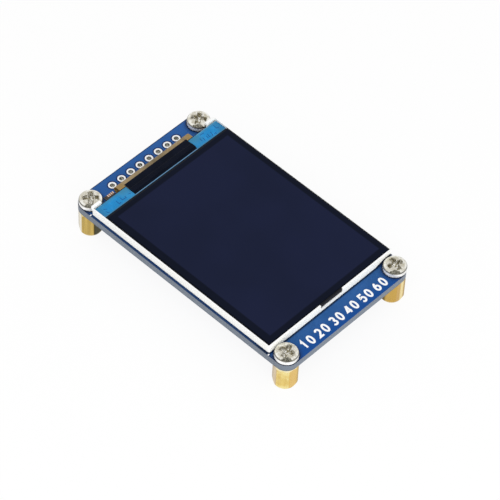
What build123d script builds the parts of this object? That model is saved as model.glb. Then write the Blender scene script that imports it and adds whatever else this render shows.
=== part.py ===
from build123d import *
from math import cos, radians, tan
import os

# Small colour display module: a circuit board on four standoffs, with a framed screen taped to its top face.
# X runs across the board, Y along it towards the header holes, Z up. The origin is at the centre of the
# footprint, level with the feet of the standoffs. All sizes are millimetres.

# Circuit board, whose outline follows the screen and the screw heads beyond its two ends
board_thickness = 1.6
hole_inset = 2.5
hole_diameter = 3.0
side_margin = 0.4
front_head_clearance = 0.15
header_head_clearance = 0.05

# Header holes
header_count = 8
header_pitch = 2.54
header_edge_distance = 2.28
header_hole = 1.0
header_ring = 1.7
pad_proud = 0.05

# Screws and standoffs
thread_diameter = 2.5
thread_minor_diameter = 2.1
screw_clearance = 0.01
screw_tip_gap = 0.1
screw_length = 4.0
head_diameter = 4.8
head_rim_height = 1.0
head_edge_width = 0.3
head_edge_rise = 0.25
head_crown = 0.45
recess_span = 2.9
recess_slot = 0.75
recess_depth = 1.0
recess_taper = 20.0
screw_turns = [18, 47, 71, 33]
standoff_flats = 4.5
standoff_end_diameter = 4.4
standoff_end_angle = 60.0
standoff_blank_margin = 0.1
standoff_mouth = 2.9

# Screen stack
tape_headroom = 0.06
tape_inset = 0.2
reflector_thickness = 0.08
guide_thickness = 0.55
film_thickness = 0.06
film_count = 3
rim_tape_thickness = 0.07
lower_polariser_thickness = 0.12
glass_thickness = 0.4
upper_polariser_thickness = 0.15

# Screen outline
glass_width = 33.7
glass_length = 47.3
polariser_inset = 0.3
window_side_border = 1.05
window_end_border = 1.1

# White frame round the backlight
frame_side_wall = 0.2
frame_end_wall = 0.4
frame_fit = 0.05
frame_top_drop = 0.1
frame_corner = 0.4
lip_length = 2.45
lip_height = 0.65
lip_overhang = 0.38
lip_gap = 0.2
shelf_width = 1.1
notch_centre_x = 0.4
notch_width = 5.6
notch_depth = 1.0
film_fit = 0.05

# Backlight lamps and their flex
led_count = 4
led_pitch = 7.2
led_width = 3.6
led_depth = 0.9
led_headroom = 0.08
led_rear_room = 0.8
led_window_depth = 0.25
led_window_wall = 0.12
led_window_end = 0.5
strip_front_gap = 0.2
flex_thickness = 0.1
tail_width = 2.5
tail_fit = 0.05
tail_head_clearance = 0.05
tail_reach = 1.45
tail_step = 0.5
tail_bend = 0.15
tail_finger_count = 4
tail_finger_gap = 0.28
tail_finger_length = 0.7

# Driver chip, main flex and cover tape
chip_width = 15.0
chip_depth = 0.95
chip_height = 0.2
chip_front_gap = 1.2
chip_flex_gap = 0.25
main_flex_gap = 0.25
main_flex_width = 20.7
main_flex_bond = 0.9
main_flex_reach = 1.75
main_flex_shoulder_gap = 0.1
main_flex_return = 10.55
main_flex_fold_flat = 0.04
cover_tape_left_margin = 1.6
cover_tape_right_margin = 1.95
cover_tape_gap = 0.7
cover_tape_overhang = 0.5
cover_tape_thickness = 0.06
solder_height = 0.04
finger_count = 12
finger_margin = 0.75
finger_width = 0.9
finger_length = 1.4
finger_surround = 0.7

# Wire socket on the back
socket_way_count = 8
socket_pitch = 2.0
socket_side_room = 1.95
socket_wall = 0.75
socket_height = 5.5
socket_depth = 7.6
socket_header_gap = 0.87
socket_ground_clearance = 0.5
socket_floor = 0.7
socket_roof = 0.6
socket_back_wall = 1.4
socket_edge_chamfer = 0.35
socket_key_width = 1.2
contact_size = 0.5
contact_reach = 4.4
contact_foot = 1.6
contact_drop = 0.6
tab_length = 3.2
tab_thickness = 0.3
tab_height = 2.4
tab_foot = 1.2

# Chips on the back, with their leads
shifter_width = 5.0
shifter_depth = 4.4
shifter_height = 1.0
shifter_row_count = 8
shifter_pitch = 0.65
shifter_x = 5.5
shifter_y = -2.0
regulator_width = 2.9
regulator_depth = 1.6
regulator_height = 1.1
transistor_width = 2.9
transistor_depth = 1.3
transistor_height = 1.0
small_chip_pitch = 0.95
small_chip_x = -8.5
regulator_y = 6.0
transistor_y = -4.0
chip_draft = 7.0
lead_thickness = 0.15
lead_width = 0.3
lead_reach = 0.95
lead_shoulder = 0.28
lead_slope = 0.1
lead_standoff = 0.08

# Capacitors and resistors beside the chips
chip_part_length = 1.6
chip_part_width = 0.8
capacitor_height = 0.8
resistor_height = 0.45
end_cap_length = 0.3
end_cap_proud = 0.03
part_spacing = 3.0
part_gap = 2.0

# Levels that follow from the sizes above
standoff_height = socket_height + socket_ground_clearance
dome_foot = head_rim_height + head_edge_rise
head_height = dome_foot + head_crown
board_bottom = standoff_height
board_top = board_bottom + board_thickness
tape_thickness = solder_height + flex_thickness + tape_headroom
tape_top = board_top + tape_thickness
frame_bottom = tape_top + reflector_thickness
film_bottom = frame_bottom + guide_thickness
shelf_level = film_bottom + film_count * film_thickness
polariser_bottom = shelf_level + rim_tape_thickness
lower_glass_bottom = polariser_bottom + lower_polariser_thickness
ledge_level = lower_glass_bottom + glass_thickness
upper_glass_top = ledge_level + glass_thickness
screen_top = upper_glass_top + upper_polariser_thickness
frame_top = screen_top - frame_top_drop
led_height = shelf_level - frame_bottom - flex_thickness - led_headroom

# Outlines that follow from the sizes above
frame_width = glass_width + 2 * (frame_fit + frame_side_wall)
frame_length = glass_length + 2 * frame_fit + frame_side_wall + frame_end_wall
front_strip = hole_inset + head_diameter / 2 + front_head_clearance
header_strip = hole_inset + head_diameter / 2 + header_head_clearance
board_width = frame_width + 2 * side_margin
board_length = frame_length + front_strip + header_strip
frame_front = front_strip - board_length / 2
frame_back = board_length / 2 - header_strip
frame_centre_y = (frame_front + frame_back) / 2
glass_front = frame_front + frame_side_wall + frame_fit
glass_back = frame_back - frame_end_wall - frame_fit
glass_centre_y = (glass_front + glass_back) / 2
ledge_depth = chip_front_gap + chip_depth + chip_flex_gap + main_flex_bond
upper_glass_back = glass_back - ledge_depth
upper_glass_length = glass_length - ledge_depth
upper_glass_centre_y = (glass_front + upper_glass_back) / 2
cavity_width = frame_width - 2 * shelf_width
cavity_front = frame_front + shelf_width
cavity_back = frame_back - frame_end_wall
led_bay_depth = led_depth + led_rear_room
guide_back = cavity_back - led_bay_depth
guide_length = guide_back - cavity_front
guide_centre_y = (cavity_front + guide_back) / 2
header_y = board_length / 2 - header_edge_distance
hole_x = board_width / 2 - hole_inset
hole_y = board_length / 2 - hole_inset
tail_left = head_diameter / 2 + tail_head_clearance - hole_x
tail_right = tail_left + tail_width
tail_end_y = frame_back + tail_reach
main_flex_left = tail_right + main_flex_gap
main_flex_right = main_flex_left + main_flex_width
main_flex_end_y = frame_back - main_flex_return
neck_left = main_flex_left + cover_tape_left_margin
neck_right = main_flex_right - cover_tape_right_margin
finger_pitch = (main_flex_width - 2 * finger_margin) / finger_count
socket_mouth_y = header_y - header_ring / 2 - socket_header_gap
socket_back_y = socket_mouth_y - socket_depth
socket_inner_width = (socket_way_count - 1) * socket_pitch + 2 * socket_side_room
contact_level = board_bottom - (socket_floor + socket_height - socket_roof) / 2

# Sizes and places of the chips and small parts, as (width, depth, height), (x, y) and (x, y, turn)
shifter_body = (shifter_width, shifter_depth, shifter_height)
shifter_place = (shifter_x, shifter_y)
regulator_body = (regulator_width, regulator_depth, regulator_height)
regulator_place = (small_chip_x, regulator_y)
transistor_body = (transistor_width, transistor_depth, transistor_height)
transistor_place = (small_chip_x, transistor_y)
beside_regulator = regulator_width / 2 + part_gap
beside_transistor = transistor_width / 2 + part_gap
beside_shifter = shifter_width / 2 + part_gap
ahead_of_shifter = shifter_y - shifter_depth / 2 - lead_reach - part_gap
capacitor_places = [
    (small_chip_x - beside_regulator, regulator_y, 90),
    (small_chip_x + beside_regulator, regulator_y, 90),
    (shifter_x - beside_shifter, shifter_y, 90),
    (shifter_x + beside_shifter, shifter_y, 90),
]
resistor_places = [
    (small_chip_x - beside_transistor, transistor_y, 90),
    (small_chip_x + beside_transistor, transistor_y, 90),
    (shifter_x - part_spacing, ahead_of_shifter, 0),
    (shifter_x, ahead_of_shifter, 0),
    (shifter_x + part_spacing, ahead_of_shifter, 0),
]


def block(x_span, y_span, z_span):
    """A rectangular solid between two coordinates along each axis."""
    sizes = [span[1] - span[0] for span in (x_span, y_span, z_span)]
    middle = [(span[0] + span[1]) / 2 for span in (x_span, y_span, z_span)]
    return Pos(*middle) * Box(*sizes)


def sheet(width, length, centre_y, bottom, thickness, corner=0.0):
    """A flat sheet centred across the board, with rounded corners where corner is not zero."""
    outline = RectangleRounded(width, length, corner) if corner else Rectangle(width, length)
    return Pos(0, centre_y, bottom) * extrude(outline, thickness)


def bent_strip(points, radii, thickness, x_span):
    """A thin strip bent along a centre line of (y, z) points, as wide as x_span."""
    centre_line = FilletPolyline(*points, radius=radii)
    section = trace(centre_line, thickness)
    return Pos(x_span[0], 0, 0) * extrude(Plane.YZ * section, x_span[1] - x_span[0])


def profile_strip(points, x_span):
    """A solid with the closed outline of (y, z) points, as wide as x_span."""
    section = make_face(Polyline(*points, close=True))
    return Pos(x_span[0], 0, 0) * extrude(Plane.YZ * section, x_span[1] - x_span[0])


def stepped_strip(ys, levels, thickness, width):
    """A strip with one step up along it; ys are its start, the two ends of the step, and its end."""
    start, step_start, step_end, end = ys
    low, high = levels
    half = thickness / 2
    lean = half if end > start else -half
    upper = [(start, low + half), (step_start - lean, low + half), (step_end - lean, high + half),
             (end, high + half)]
    lower = [(end, high - half), (step_end + lean, high - half), (step_start + lean, low - half),
             (start, low - half)]
    return profile_strip(upper + lower, mirrored(width / 2))


def corner_places():
    """The four mounting points, at the board's corners."""
    return [(x, y) for x in (-hole_x, hole_x) for y in (-hole_y, hole_y)]


def header_places():
    """The centres of the header holes."""
    return [(x, header_y) for x in row_places(header_count, header_pitch, 0)]


def mirrored(half):
    """A span that reaches equally far to both sides of the middle."""
    return (-half, half)


def row_places(count, pitch, centre):
    """Evenly spaced coordinates along one line."""
    return [centre + (index - (count - 1) / 2) * pitch for index in range(count)]


def make_pcb():
    """The circuit board, with rounded corners, four mounting holes and the drilled header row."""
    outline = RectangleRounded(board_width, board_length, hole_inset)
    mounting = [Pos(x, y) * Circle(hole_diameter / 2) for x, y in corner_places()]
    header = [Pos(x, y) * Circle(header_ring / 2) for x, y in header_places()]
    return Pos(0, 0, board_bottom) * extrude(outline - mounting - header, board_thickness)


def make_header_pads():
    """The plated header holes: each is lined through the board and stands a little proud on both faces."""
    ring = Circle(header_ring / 2) - Circle(header_hole / 2)
    pad = extrude(ring, board_thickness + 2 * pad_proud)
    return [Pos(x, y, board_bottom - pad_proud) * pad for x, y in header_places()]


def make_screw():
    """A pan head machine screw with a cross recess, its head resting at height zero."""
    rim = head_diameter / 2
    shank = thread_diameter / 2
    dome_rim = rim - head_edge_width
    section = make_face(Polyline(
        (0, dome_foot), (0, -screw_length), (shank, -screw_length), (shank, 0), (rim, 0),
        (rim, head_rim_height), (dome_rim, dome_foot), close=True))
    dome_radius = (dome_rim ** 2 + head_crown ** 2) / (2 * head_crown)
    dome = Pos(0, 0, head_height - dome_radius) * Sphere(dome_radius)
    dome &= Pos(0, 0, dome_foot + head_crown / 2) * Cylinder(dome_rim, head_crown)
    return revolve(Plane.XZ * section, Axis.Z) + dome - cross_recess()


def cross_recess():
    """The cross in a screw head: two crossed wings whose ends slope in towards a flat floor."""
    floor = head_height - recess_depth
    half = recess_span / 2
    narrow = half - recess_depth * tan(radians(recess_taper))
    wing_section = make_face(Polyline(
        (-half, head_height), (-narrow, floor), (narrow, floor), (half, head_height), close=True))
    wing = extrude(Plane.XZ * wing_section, recess_slot / 2, both=True)
    return wing + Rot(0, 0, 90) * wing


def make_screws():
    """Four screws through the corners of the board, turned differently as hand driven screws are."""
    screw = make_screw()
    return [Pos(x, y, board_top) * Rot(0, 0, turn) * screw
            for (x, y), turn in zip(corner_places(), screw_turns)]


def make_standoffs():
    """Four brass hexagonal standoffs with turned ends; the bore is wider where the screw fills it."""
    blank = extrude(RegularPolygon(standoff_flats / 2, 6, major_radius=False), standoff_height)
    corner = standoff_flats / 2 / cos(radians(30)) + standoff_blank_margin
    slope = tan(radians(standoff_end_angle)) * (corner - standoff_end_diameter / 2)
    half = standoff_end_diameter / 2
    turned = revolve(Plane.XZ * make_face(Polyline(
        (0, 0), (half, 0), (corner, slope), (corner, standoff_height - slope),
        (half, standoff_height), (0, standoff_height), close=True)), Axis.Z)
    bore = thread_minor_diameter / 2
    mouth = standoff_mouth / 2 - bore
    grip = thread_diameter / 2 + screw_clearance
    grip_start = board_top - screw_length - screw_tip_gap
    tapped = revolve(Plane.XZ * make_face(Polyline(
        (0, 0), (standoff_mouth / 2, 0), (bore, mouth), (bore, grip_start), (grip, grip_start),
        (grip, standoff_height), (0, standoff_height), close=True)), Axis.Z)
    standoff = (blank & turned) - tapped
    return [Pos(x, y, 0) * standoff for x, y in corner_places()]


def make_display_tape():
    """The adhesive tape under the screen, set in from its edges and cut out round the two flex tails."""
    tape = sheet(frame_width - 2 * tape_inset, frame_length - 2 * tape_inset, frame_centre_y, board_top,
                 tape_thickness)
    margin = finger_surround
    cut = block((tail_left - margin, main_flex_right + margin), (main_flex_end_y - margin, frame_back + margin),
                (board_top, tape_top))
    return tape - cut


def make_reflector_film():
    """The mirror film under the light guide, stuck over the whole back of the frame."""
    return sheet(frame_width, frame_length, frame_centre_y, tape_top, reflector_thickness, frame_corner)


def make_backlight_frame():
    """The white moulded frame: a thin rim round the glass, a broad shelf, and two back lips."""
    height = frame_top - frame_bottom
    frame = sheet(frame_width, frame_length, frame_centre_y, frame_bottom, height, frame_corner)
    lips = sheet(frame_width, frame_length + lip_overhang, frame_centre_y + lip_overhang / 2,
                 frame_top - lip_height, lip_height, frame_corner)
    pocket = block(mirrored(glass_width / 2 + frame_fit), (glass_front - frame_fit, glass_back + lip_gap),
                   (shelf_level, frame_top))
    cavity = block(mirrored(cavity_width / 2), (cavity_front, cavity_back), (frame_bottom, shelf_level))
    notch_x = (notch_centre_x - notch_width / 2, notch_centre_x + notch_width / 2)
    notch = block(notch_x, (frame_front, glass_front), (frame_top - notch_depth, frame_top))
    gap = block(mirrored(frame_width / 2 - lip_length), (glass_back, frame_back + lip_overhang),
                (shelf_level, frame_top))
    slot = block((tail_left - tail_fit, tail_right + tail_fit), (cavity_back, frame_back),
                 (frame_bottom, frame_bottom + flex_thickness + tail_fit))
    return frame + lips - pocket - cavity - notch - gap - slot


def make_light_guide():
    """The clear plate that spreads the light of the lamps."""
    return sheet(cavity_width - 2 * film_fit, guide_length - 2 * film_fit, guide_centre_y, frame_bottom,
                 guide_thickness)


def make_film(level):
    """One optical film on the light guide; level counts the films from below."""
    bottom = film_bottom + level * film_thickness
    return sheet(cavity_width - 2 * film_fit, guide_length - 2 * film_fit, guide_centre_y, bottom,
                 film_thickness)


def make_rim_tape():
    """The black tape between films and glass, with a window and a tab folded up in the front notch."""
    tape = block(mirrored(glass_width / 2), (glass_front, glass_back), (shelf_level, polariser_bottom))
    window = block(mirrored(glass_width / 2 - window_side_border),
                   (glass_front + window_end_border, upper_glass_back - window_end_border),
                   (shelf_level, polariser_bottom))
    tab_half = notch_width / 2 - frame_fit
    tab_x = (notch_centre_x - tab_half, notch_centre_x + tab_half)
    tab = block(tab_x, (glass_front - frame_fit, glass_front), (shelf_level, upper_glass_top))
    return tape - window + tab


def make_lower_polariser():
    """The polarising film under the lower glass."""
    return sheet(glass_width - 2 * polariser_inset, upper_glass_length - 2 * polariser_inset,
                 upper_glass_centre_y, polariser_bottom, lower_polariser_thickness)


def make_lower_glass():
    """The lower glass, which runs on past the upper one as a ledge for the driver chip."""
    return sheet(glass_width, glass_length, glass_centre_y, lower_glass_bottom, glass_thickness)


def make_upper_glass():
    """The upper glass, which carries the colour filter."""
    return sheet(glass_width, upper_glass_length, upper_glass_centre_y, ledge_level, glass_thickness)


def make_upper_polariser():
    """The dark polarising film that makes the face of the screen."""
    return sheet(glass_width - 2 * polariser_inset, upper_glass_length - 2 * polariser_inset,
                 upper_glass_centre_y, upper_glass_top, upper_polariser_thickness)


def make_backlight_flex():
    """The strip that carries the lamps, with a tail that steps down to the board beside the main flex."""
    strip_back = cavity_back - film_fit
    strip = block(mirrored(cavity_width / 2 - film_fit), (guide_back + strip_front_gap, strip_back),
                  (frame_bottom, frame_bottom + flex_thickness))
    high = frame_bottom + flex_thickness / 2
    low = board_top + solder_height + flex_thickness / 2
    path = [(strip_back - film_fit, high), (frame_back + tail_fit, high),
            (frame_back + tail_fit + tail_step, low), (tail_end_y, low)]
    tail = bent_strip(path, tail_bend, flex_thickness, (tail_left, tail_right))
    return strip + tail


def make_backlight_leds():
    """The side view lamps that shine into the edge of the light guide."""
    middle = guide_back + film_fit + led_depth / 2
    floor = frame_bottom + flex_thickness
    lamp = Box(led_width, led_depth, led_height)
    window = Box(led_width - 2 * led_window_end, 2 * led_window_depth, led_height - 2 * led_window_wall)
    lamp = lamp - Pos(0, -led_depth / 2, 0) * window
    return [Pos(x, middle, floor + led_height / 2) * lamp for x in row_places(led_count, led_pitch, 0)]


def make_driver_chip():
    """The long driver chip bonded face down on the glass ledge."""
    middle = upper_glass_back + chip_front_gap + chip_depth / 2
    return Pos(0, middle, ledge_level + chip_height / 2) * Box(chip_width, chip_depth, chip_height)


def make_main_flex():
    """The main flex: its narrower neck is bonded on the ledge, and it folds round the end of the screen."""
    high = ledge_level + flex_thickness / 2
    low = board_top + solder_height + flex_thickness / 2
    reach = glass_back + main_flex_reach
    bend = (high - low - main_flex_fold_flat) / 2
    path = [(glass_back - main_flex_bond, high), (reach - flex_thickness / 2, high),
            (reach - flex_thickness / 2, low), (main_flex_end_y, low)]
    flex = bent_strip(path, bend, flex_thickness, (main_flex_left, main_flex_right))
    for side in ((main_flex_left, neck_left), (neck_right, main_flex_right)):
        flex -= block(side, (glass_back - main_flex_bond, glass_back + main_flex_shoulder_gap),
                      (ledge_level, ledge_level + flex_thickness))
    return flex


def make_cover_tape():
    """The black tape over the driver chip and the bond of the main flex."""
    thick = cover_tape_thickness
    front = upper_glass_back + cover_tape_gap
    chip_front = upper_glass_back + chip_front_gap
    chip_back = chip_front + chip_depth
    flex_front = glass_back - main_flex_bond
    end = glass_back + cover_tape_overhang
    chip_top = ledge_level + chip_height
    flex_top = ledge_level + flex_thickness
    lower = [(front, ledge_level), (chip_front - chip_height, ledge_level), (chip_front, chip_top),
             (chip_back, chip_top), (flex_front, flex_top), (end, flex_top)]
    upper = [(end, flex_top + thick), (flex_front, flex_top + thick), (chip_back, chip_top + thick),
             (chip_front, chip_top + thick), (chip_front - chip_height, ledge_level + thick),
             (front, ledge_level + thick)]
    return profile_strip(lower + upper, (neck_left, neck_right))


def make_flex_solder_pads():
    """The solder pads on the board under the ends of the main flex and of the backlight tail."""
    middle = (main_flex_left + main_flex_right) / 2
    centre_z = board_top + solder_height / 2
    finger = Box(finger_width, finger_length, solder_height)
    pads = [Pos(x, main_flex_end_y + finger_length / 2, centre_z) * finger
            for x in row_places(finger_count, finger_pitch, middle)]
    pitch = tail_width / tail_finger_count
    short = Box(pitch - tail_finger_gap, tail_finger_length, solder_height)
    pads += [Pos(x, tail_end_y - tail_finger_length / 2, centre_z) * short
             for x in row_places(tail_finger_count, pitch, (tail_left + tail_right) / 2)]
    return pads


def make_wire_socket():
    """The wire socket under the board: an open box with its mouth towards the header edge."""
    inner = socket_inner_width
    outer = inner + 2 * socket_wall
    top = board_bottom
    bottom = board_bottom - socket_height
    back = socket_back_y
    body = block(mirrored(outer / 2), (back, socket_mouth_y), (bottom, top))
    body = chamfer(body.edges().filter_by(Axis.Y).group_by(Axis.Z)[0], socket_edge_chamfer)
    cavity = block(mirrored(inner / 2), (back + socket_back_wall, socket_mouth_y),
                   (bottom + socket_roof, top - socket_floor))
    keys = [Pos(x, 0, 0) * block(mirrored(socket_key_width / 2), (back + socket_back_wall, socket_mouth_y),
                                 (bottom, bottom + socket_roof))
            for x in (-inner / 4, inner / 4)]
    hole = Box(contact_size, 2 * socket_back_wall, contact_size)
    holes = [Pos(x, back + socket_back_wall / 2, contact_level) * hole
             for x in row_places(socket_way_count, socket_pitch, 0)]
    return body - cavity - keys - holes


def make_socket_pins():
    """The bent contact pins: straight through the back wall of the socket, then up to pads on the board."""
    tip = socket_back_y + socket_back_wall + contact_reach
    fall = socket_back_y - contact_drop
    seat = board_bottom - contact_size / 2
    ys = (tip, fall, fall, fall - contact_foot)
    pin = stepped_strip(ys, (contact_level, seat), contact_size, contact_size)
    return [Pos(x, 0, 0) * pin for x in row_places(socket_way_count, socket_pitch, 0)]


def make_socket_tabs():
    """The two solder tabs that hold the sides of the socket on the board."""
    side = socket_inner_width / 2 + socket_wall
    middle = socket_back_y + socket_depth / 2
    length = (middle - tab_length / 2, middle + tab_length / 2)
    tab = block((side, side + tab_thickness), length, (board_bottom - tab_height, board_bottom))
    foot = block((side, side + tab_thickness + tab_foot), length, (board_bottom - tab_thickness, board_bottom))
    right = tab + foot
    return [right, mirror(right, Plane.YZ)]


def chip_body(size, place):
    """A moulded chip body under the board, with drafted sides; size is width, depth and height."""
    width, depth, height = size
    middle = height / 2
    half = extrude(Rectangle(width, depth), middle, taper=chip_draft)
    body = half + mirror(half, Plane.XY)
    return Pos(place[0], place[1], board_bottom - lead_standoff - middle) * body


def gull_lead(size, side):
    """One bent lead at the middle of a chip's front or back edge; side is -1 or 1."""
    edge = size[1] / 2
    leave = board_bottom - lead_standoff - size[2] / 2
    seat = board_bottom - lead_thickness / 2
    near = edge + lead_shoulder
    ys = (edge, near, near + lead_slope, edge + lead_reach)
    lead = stepped_strip(ys, (leave, seat), lead_thickness, lead_width)
    return lead if side > 0 else mirror(lead, Plane.XZ)


def chip_leads(size, place, front_places, back_places):
    """All the leads of one chip, at the given places along its front and back edges."""
    leads = [Pos(place[0] + x, place[1], 0) * gull_lead(size, -1) for x in front_places]
    leads += [Pos(place[0] + x, place[1], 0) * gull_lead(size, 1) for x in back_places]
    return leads


def shifter_lead_solids():
    """The leads of the level shifter, in two full rows."""
    row = row_places(shifter_row_count, shifter_pitch, 0)
    return chip_leads(shifter_body, shifter_place, row, row)


def regulator_lead_solids():
    """The leads of the regulator: three in front and two behind."""
    row = row_places(3, small_chip_pitch, 0)
    return chip_leads(regulator_body, regulator_place, row, [row[0], row[2]])


def transistor_lead_solids():
    """The leads of the backlight transistor: two in front and one behind."""
    row = row_places(3, small_chip_pitch, 0)
    return chip_leads(transistor_body, transistor_place, [row[0], row[2]], [0])


def chip_parts(places, height):
    """The ceramic middles and the metal ends of small two ended parts, as two lists."""
    slim = 2 * end_cap_proud
    middle = Box(chip_part_length - 2 * end_cap_length, chip_part_width - slim, height - slim)
    cap = Box(end_cap_length, chip_part_width, height)
    offset_x = (chip_part_length - end_cap_length) / 2
    middles = []
    caps = []
    for x, y, turn in places:
        place = Pos(x, y, board_bottom - height / 2) * Rot(0, 0, turn)
        middles.append(place * middle)
        caps.append(place * Pos(-offset_x, 0, 0) * cap)
        caps.append(place * Pos(offset_x, 0, 0) * cap)
    return middles, caps


capacitors, capacitor_ends = chip_parts(capacitor_places, capacitor_height)
resistors, resistor_ends = chip_parts(resistor_places, resistor_height)

nodes = {
    "pcb": make_pcb(),
    "header_pads": make_header_pads(),
    "screws": make_screws(),
    "standoffs": make_standoffs(),
    "display_tape": make_display_tape(),
    "reflector_film": make_reflector_film(),
    "backlight_frame": make_backlight_frame(),
    "light_guide": make_light_guide(),
    "diffuser_film": make_film(0),
    "prism_film_lower": make_film(1),
    "prism_film_upper": make_film(2),
    "rim_tape": make_rim_tape(),
    "lower_polariser": make_lower_polariser(),
    "lower_glass": make_lower_glass(),
    "upper_glass": make_upper_glass(),
    "upper_polariser": make_upper_polariser(),
    "backlight_flex": make_backlight_flex(),
    "backlight_leds": make_backlight_leds(),
    "driver_chip": make_driver_chip(),
    "main_flex": make_main_flex(),
    "cover_tape": make_cover_tape(),
    "flex_solder_pads": make_flex_solder_pads(),
    "wire_socket": make_wire_socket(),
    "socket_pins": make_socket_pins(),
    "socket_tabs": make_socket_tabs(),
    "level_shifter": chip_body(shifter_body, shifter_place),
    "level_shifter_leads": shifter_lead_solids(),
    "regulator": chip_body(regulator_body, regulator_place),
    "regulator_leads": regulator_lead_solids(),
    "backlight_transistor": chip_body(transistor_body, transistor_place),
    "transistor_leads": transistor_lead_solids(),
    "capacitors": capacitors,
    "capacitor_ends": capacitor_ends,
    "resistors": resistors,
    "resistor_ends": resistor_ends,
}

os.makedirs("parts", exist_ok=True)
for name, shape in nodes.items():
    if isinstance(shape, list):
        shape = Compound(children=shape)
    export_step(shape, f"parts/{name}.step")
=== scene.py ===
import bpy
import bmesh
from math import cos, hypot, pi, radians, sin, sqrt, tan
from mathutils import Matrix, Vector


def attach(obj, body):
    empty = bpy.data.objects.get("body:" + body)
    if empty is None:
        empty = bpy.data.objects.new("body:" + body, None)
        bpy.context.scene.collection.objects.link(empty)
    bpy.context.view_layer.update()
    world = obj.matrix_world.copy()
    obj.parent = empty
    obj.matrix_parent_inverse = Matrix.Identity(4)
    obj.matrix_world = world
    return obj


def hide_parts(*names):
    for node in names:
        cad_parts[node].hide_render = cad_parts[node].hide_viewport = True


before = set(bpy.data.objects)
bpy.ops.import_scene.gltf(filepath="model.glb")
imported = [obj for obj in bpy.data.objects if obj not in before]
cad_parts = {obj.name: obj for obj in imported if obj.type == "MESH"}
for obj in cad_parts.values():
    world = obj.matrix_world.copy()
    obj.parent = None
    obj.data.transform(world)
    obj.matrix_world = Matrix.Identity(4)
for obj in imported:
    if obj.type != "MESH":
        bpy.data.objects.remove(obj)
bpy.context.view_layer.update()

# Every size below is in millimetres in the frame of the model, and is scaled as a mesh is made.
MM = 0.001
hole_x = 15.0
hole_y = 26.5
corners = [(-hole_x, -hole_y), (-hole_x, hole_y), (hole_x, -hole_y), (hole_x, hole_y)]
screw_turns = [18, 47, 71, 33]
board_bottom = 6.0
board_top = 7.6
ledge_level = 9.2
header_y = 26.72
header_pitch = 2.54
header_x = [(index - 3.5) * header_pitch for index in range(8)]
# The front right screw sits a little off the axis of its hole, within the play.
head_offset = 0.3


def linear(r, g, b):
    """A colour written as 0 to 255 values, as the shader takes it."""
    shares = [value / 255 for value in (r, g, b)]
    return (*(c / 12.92 if c <= 0.04045 else ((c + 0.055) / 1.055) ** 2.4 for c in shares), 1.0)


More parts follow.
